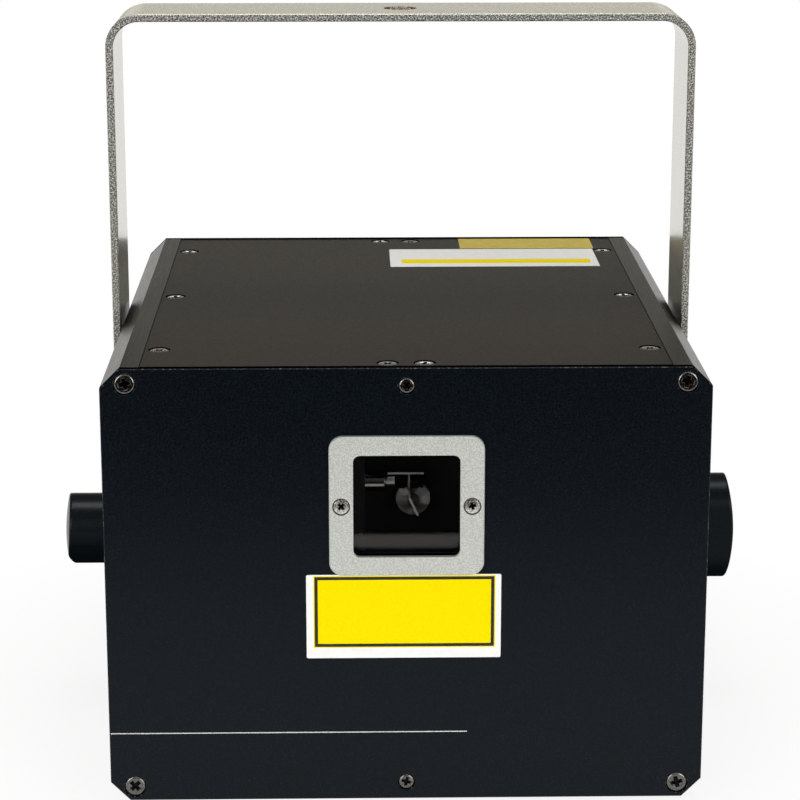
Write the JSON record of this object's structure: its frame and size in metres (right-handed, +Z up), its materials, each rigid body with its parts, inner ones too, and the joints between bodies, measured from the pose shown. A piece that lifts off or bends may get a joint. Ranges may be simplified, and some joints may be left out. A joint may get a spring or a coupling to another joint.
{
  "type": "laser show projector",
  "caption": "Boxy stage laser projector with chamfered case edges, a framed scanner window in the front plate and a swivelling U bracket held by hand knobs.",
  "frame": {"origin": "under the middle of the case's footprint, on the plane that its rubber feet stand on", "axes": "+X to the right seen from the front, +Y from the front plate to the rear plate, +Z up; the beam leaves along -Y"},
  "size_m": [0.2744, 0.2525, 0.2854],
  "materials": {
    "black_anodised": "satin black anodised plate with a fine grain",
    "case_paint": "satin black paint on extruded aluminium",
    "cover_paint": "satin black paint on sheet steel",
    "bracket_metal": "bare satin strip with blasted faces",
    "bezel_metal": "fine blasted, clear anodised",
    "window_glass": "clear, coated",
    "black_plastic": "satin moulded",
    "knob_plastic": "satin moulded",
    "red_plastic": "moulded",
    "button_plastic": "moulded",
    "display_lens": "smoked clear",
    "rubber": "matt",
    "black_screw": "black oxide",
    "bright_screw": "nickel plated",
    "plated_steel": "zinc plated",
    "chrome": "polished",
    "brass": "turned",
    "scanner_metal": "brown grey anodised",
    "galvo_metal": "turned",
    "mirror": "coated front surface",
    "dichroic": "coated",
    "optics_metal": "black anodised",
    "laser_metal": "black anodised",
    "supply_metal": "plain sheet",
    "circuit_board": "solder mask"
  },
  "bodies": {
    "housing": {"front_plate": "black_anodised", "rear_plate": "black_anodised", "left_side_profile": "case_paint", "right_side_profile": "case_paint", "top_cover": "cover_paint", "bottom_plate": "cover_paint", "centre_blocks": "supply_metal", "front_plate_screws": "black_screw", "rear_plate_screws": "black_screw", "top_cover_screws": "bright_screw", "bottom_plate_screws": "bright_screw", "window_bezel": "bezel_metal", "window_glass": "window_glass", "window_gasket": "rubber", "bezel_screws": "bright_screw", "rubber_feet": "rubber", "foot_screws": "plated_steel", "friction_washers": "rubber", "pivot_inserts": "brass", "scanner_block": "scanner_metal", "x_galvo": "galvo_metal", "y_galvo": "galvo_metal", "optics_plate": "optics_metal", "optics_pillars": "plated_steel", "red_laser": "laser_metal", "green_laser": "laser_metal", "blue_laser": "laser_metal", "mirror_mounts": "optics_metal", "turning_mirror": "mirror", "dichroic_mirrors": "dichroic", "power_supply": "supply_metal", "scan_driver_board": "circuit_board", "control_board": "circuit_board", "fan_frame": "black_plastic", "fan_guard": "chrome", "fan_screws": "bright_screw", "power_inlet": "black_plastic", "signal_input_socket": "black_plastic", "signal_output_socket": "black_plastic", "scan_signal_socket": "plated_steel", "key_switch": "chrome", "interlock_socket": "chrome", "display_window": "display_lens"},
    "bracket": {"mounting_bracket": "bracket_metal", "knob_washers": "plated_steel"},
    "left_knob": {"left_knob": "knob_plastic", "left_knob_stud": "plated_steel"},
    "right_knob": {"right_knob": "knob_plastic", "right_knob_stud": "plated_steel"},
    "x_scanner": {"x_scan_rotor": "galvo_metal", "x_scan_mirror": "mirror"},
    "y_scanner": {"y_scan_rotor": "galvo_metal", "y_scan_mirror": "mirror"},
    "fan_rotor": {"fan_rotor": "black_plastic"},
    "lock_plug": {"lock_plug": "brass"},
    "power_rocker": {"power_rocker": "red_plastic"},
    "mode_button": {"mode_button": "button_plastic"},
    "down_button": {"down_button": "button_plastic"},
    "up_button": {"up_button": "button_plastic"},
    "enter_button": {"enter_button": "button_plastic"}
  },
  "joints": [
    {"name": "bracket_tilt", "type": "hinge", "parent": "housing", "child": "bracket", "pos_m": [0, 0, 0.0726], "axis": [1, 0, 0], "continuous": true},
    {"name": "left_knob_turn", "type": "hinge", "parent": "housing", "child": "left_knob", "pos_m": [-0.1155, 0, 0.0726], "axis": [-1, 0, 0], "continuous": true},
    {"name": "right_knob_turn", "type": "hinge", "parent": "housing", "child": "right_knob", "pos_m": [0.1155, 0, 0.0726], "axis": [1, 0, 0], "continuous": true},
    {"name": "x_scan_turn", "type": "hinge", "parent": "housing", "child": "x_scanner", "pos_m": [0.003, -0.1, 0.113], "axis": [0, -1, 0], "range_deg": [0, 40]},
    {"name": "y_scan_turn", "type": "hinge", "parent": "housing", "child": "y_scanner", "pos_m": [0, -0.1, 0.1218], "axis": [1, 0, 0], "range_deg": [-15, 15]},
    {"name": "fan_spin", "type": "hinge", "parent": "housing", "child": "fan_rotor", "pos_m": [-0.05185, 0.107, 0.11316], "axis": [0, 1, 0], "continuous": true},
    {"name": "lock_turn", "type": "hinge", "parent": "housing", "child": "lock_plug", "pos_m": [0.0858, 0.1255, 0.0667], "axis": [0, -1, 0], "range_deg": [0, 90]},
    {"name": "rocker_throw", "type": "hinge", "parent": "housing", "child": "power_rocker", "pos_m": [-0.04425, 0.1215, 0.0337], "axis": [1, 0, 0], "range_deg": [0, 18]},
    {"name": "mode_press", "type": "slide", "parent": "housing", "child": "mode_button", "axis": [0, -1, 0], "range_m": [0, 0.0012], "stiffness_N_per_m": 800},
    {"name": "down_press", "type": "slide", "parent": "housing", "child": "down_button", "axis": [0, -1, 0], "range_m": [0, 0.0012], "stiffness_N_per_m": 800},
    {"name": "up_press", "type": "slide", "parent": "housing", "child": "up_button", "axis": [0, -1, 0], "range_m": [0, 0.0012], "stiffness_N_per_m": 800},
    {"name": "enter_press", "type": "slide", "parent": "housing", "child": "enter_button", "axis": [0, -1, 0], "range_m": [0, 0.0012], "stiffness_N_per_m": 800}
  ]
}
